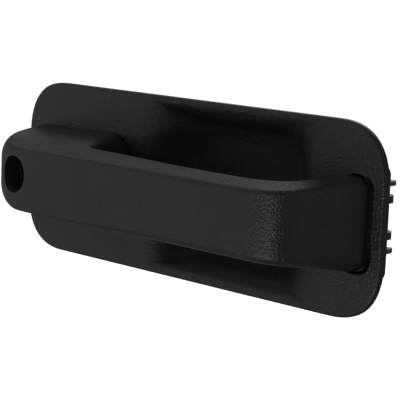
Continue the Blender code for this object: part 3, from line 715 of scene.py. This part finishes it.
def make_screw(node, x, z, seat, length):
    """A pan-head screw with a domed head and a cross recess."""
    profile = (
        (0.5, -length), (1.35, 1.35 - length), (1.45, GAP), (3.0, GAP), (3.2, GAP + 0.2), (3.2, 1.1),
        (3.05, 1.5), (2.7, 1.85), (2.2, 2.08), (1.2, 2.2), (0.3, 2.2),
    )
    screw = turned("screw", profile, (x, seat, z), (0, 1, 0))
    for half_x, half_z in ((1.9, 0.42), (0.42, 1.9)):
        outline = rounded_rectangle(x - half_x, x + half_x, z - half_z, z + half_z, 0.2, 2)
        cut(screw, slab("recess", outline, seat + 1.0, seat + 3.0))
    finish_piece(screw, node)


def tube_along(name, centre_line, radius, sides=12):
    """A round wire along a line of points."""
    rings = []
    side = Vector((1, 0, 0))
    for index, point in enumerate(centre_line):
        before = centre_line[max(index - 1, 0)]
        after = centre_line[min(index + 1, len(centre_line) - 1)]
        tangent = (after - before).normalized()
        side = (side - tangent * side.dot(tangent)).normalized()
        other = tangent.cross(side)
        ring = []
        for corner in range(sides):
            angle = 2 * math.pi * corner / sides
            ring.append(tuple(point + side * (radius * math.cos(angle)) + other * (radius * math.sin(angle))))
        rings.append(ring)
    return loft(name, rings)


def make_return_spring():
    """A torsion spring round the lever pin: one end bears on the bracket, the other pushes the arm."""
    steps = 160
    centre_line = [Vector((-50.6, 4.3 + 1.2 * step, LEVER_Z + SPRING_RADIUS)) for step in range(6)]
    for step in range(steps + 1):
        angle = math.radians(90) - 2 * math.pi * SPRING_TURNS * step / steps
        along = -50.6 - 2.9 * step / steps
        centre_line.append(Vector((
            along, LEVER_Y + SPRING_RADIUS * math.cos(angle), LEVER_Z + SPRING_RADIUS * math.sin(angle)
        )))
    finish_piece(tube_along("return_spring", centre_line, SPRING_WIRE), "return_spring", 60.0)


def soften(node, width, segments=2):
    """A copy of a CAD node with its flat faces whole again and its edges rounded."""
    builder = bmesh.new()
    builder.from_mesh(frame["nodes"][node].data)
    bmesh.ops.remove_doubles(builder, verts=builder.verts, dist=0.002 * MM)
    bmesh.ops.dissolve_limit(
        builder, angle_limit=math.radians(1.0), verts=builder.verts, edges=builder.edges
    )
    sharp = [
        edge for edge in builder.edges
        if len(edge.link_faces) == 2 and edge.calc_face_angle(0.0) > math.radians(35)
    ]
    bmesh.ops.bevel(
        builder, geom=sharp, offset=width * MM, offset_type="OFFSET", segments=segments, profile=0.5,
        affect="EDGES", clamp_overlap=True,
    )
    mesh = bpy.data.meshes.new(node)
    builder.to_mesh(mesh)
    builder.free()
    piece = bpy.data.objects.new(node + "_soft", mesh)
    bpy.context.scene.collection.objects.link(piece)
    finish_piece(piece, node, 50.0)


SOFTENED = {
    "bezel_gasket": 0.3, "bumper_1": 0.25, "bumper_2": 0.25, "nut_1": 0.25, "nut_2": 0.25, "nut_3": 0.25,
    "nut_4": 0.25, "hinge_bracket": 0.35, "hinge_pin": 0.2, "lever_bracket": 0.35, "lever_pin": 0.15,
    "lever_pin_clip": 0.1, "grip_back": 0.25, "lock_sleeve": 0.2, "pull_leg": 0.5,
    "hinge_bushing_upper": 0.15, "hinge_bushing_lower": 0.15, "bellcrank": 0.35, "rod_clip": 0.15,
}


def make_small_parts():
    for number, (x, z) in enumerate(STUD_POSITIONS, 1):
        make_stud(number, x, z)
    for number, (x, z) in enumerate(LEG_SCREWS, 1):
        make_screw(f"leg_screw_{number}", x, z, FACE_Y - 3.0, 16.0)
    for number, (x, z) in enumerate(HINGE_SCREWS, 1):
        make_screw(f"hinge_screw_{number}", x, z, HINGE_SEAT_Y[1], 7.4)
    for number, (x, z) in enumerate(LEVER_SCREWS, 1):
        make_screw(f"lever_screw_{number}", x, z, LEVER_SEAT_Y[1], 5.6)
    make_return_spring()
    for node, width in SOFTENED.items():
        soften(node, width)


# The studio.

TARGET = Vector((0.0, -0.02, 0.0))
FLOOR_Z = -0.35
FLOOR_RADIUS = 40.0
WORLD_LIGHT = 0.19
LIGHT_COLOUR = (1.0, 0.955, 0.905)
# Each softbox: name, azimuth and elevation in degrees, distance and size in metres, power in watts.
SOFTBOXES = (
    ("left_box", -52.0, 0.0, 1.4, 1.6, 2.9),
    ("front_box", 4.0, -27.0, 1.5, 0.8, 20.0),
    ("top_box", -80.0, 60.0, 1.4, 0.8, 1.5),
    ("back_box", -152.0, 32.0, 1.8, 1.3, 10.0),
    ("right_box", 100.0, 10.0, 1.6, 1.0, 1.3),
)


def make_floor():
    builder = bmesh.new()
    bmesh.ops.create_circle(builder, cap_ends=True, segments=96, radius=FLOOR_RADIUS)
    mesh = bpy.data.meshes.new("floor")
    builder.to_mesh(mesh)
    builder.free()
    floor = bpy.data.objects.new("floor", mesh)
    floor.location.z = FLOOR_Z
    bpy.context.scene.collection.objects.link(floor)
    made, tree, shader = start_material("floor_paper", (0.9, 0.9, 0.9), 0.9)
    shader.inputs["Emission Color"].default_value = (1.0, 1.0, 1.0, 1.0)
    shader.inputs["Emission Strength"].default_value = 0.9
    mesh.materials.append(made)
    floor.visible_diffuse = False
    floor.visible_glossy = False


def make_softbox(name, azimuth, elevation, distance, size, power):
    """A square area light aimed at the object. Azimuth 0 is straight in front, and +90 is to the right."""
    light = bpy.data.lights.new(name, "AREA")
    light.size = size
    light.energy = power
    light.color = LIGHT_COLOUR
    softbox = bpy.data.objects.new(name, light)
    flat = math.cos(math.radians(elevation))
    way = Vector((
        math.sin(math.radians(azimuth)) * flat, -math.cos(math.radians(azimuth)) * flat,
        math.sin(math.radians(elevation)),
    ))
    softbox.location = TARGET + way * distance
    softbox.rotation_euler = way.to_track_quat("Z", "Y").to_euler()
    softbox.visible_camera = False
    bpy.context.scene.collection.objects.link(softbox)


def make_world():
    """A white surround, which lights the object less than it shows."""
    world = bpy.data.worlds.new("studio")
    bpy.context.scene.world = world
    world.use_nodes = True
    tree = world.node_tree
    background = tree.nodes["Background"]
    background.inputs["Color"].default_value = (1.0, 1.0, 1.0, 1.0)
    rays = tree.nodes.new("ShaderNodeLightPath")
    strength = tree.nodes.new("ShaderNodeMapRange")
    strength.inputs["To Min"].default_value = WORLD_LIGHT
    strength.inputs["To Max"].default_value = 1.0
    tree.links.new(rays.outputs["Is Camera Ray"], strength.inputs["Value"])
    tree.links.new(strength.outputs["Result"], background.inputs["Strength"])


def make_camera():
    azimuth, elevation, roll = (math.radians(a) for a in (CAMERA_AZIMUTH, CAMERA_ELEVATION, CAMERA_ROLL))
    back = Vector((
        math.sin(azimuth) * math.cos(elevation), -math.cos(azimuth) * math.cos(elevation), math.sin(elevation)
    ))
    right = Vector((0, 0, 1)).cross(back).normalized()
    up = back.cross(right)
    turned_right = right * math.cos(roll) + up * math.sin(roll)
    turned_up = up * math.cos(roll) - right * math.sin(roll)
    data = bpy.data.cameras.new("camera")
    data.lens = CAMERA_LENS
    data.sensor_width = CAMERA_SENSOR
    data.shift_y = CAMERA_SHIFT_UP
    data.clip_start = 0.01
    camera = bpy.data.objects.new("camera", data)
    facing = Matrix((turned_right, turned_up, back)).transposed().to_4x4()
    camera.matrix_world = Matrix.Translation(CAMERA_SPOT) @ facing
    bpy.context.scene.collection.objects.link(camera)
    bpy.context.scene.camera = camera


def make_studio():
    make_camera()
    make_floor()
    make_world()
    for box in SOFTBOXES:
        make_softbox(*box)
    bpy.context.scene.view_settings.view_transform = "Standard"


make_bezel()
make_grip_shell()
make_small_parts()
make_studio()
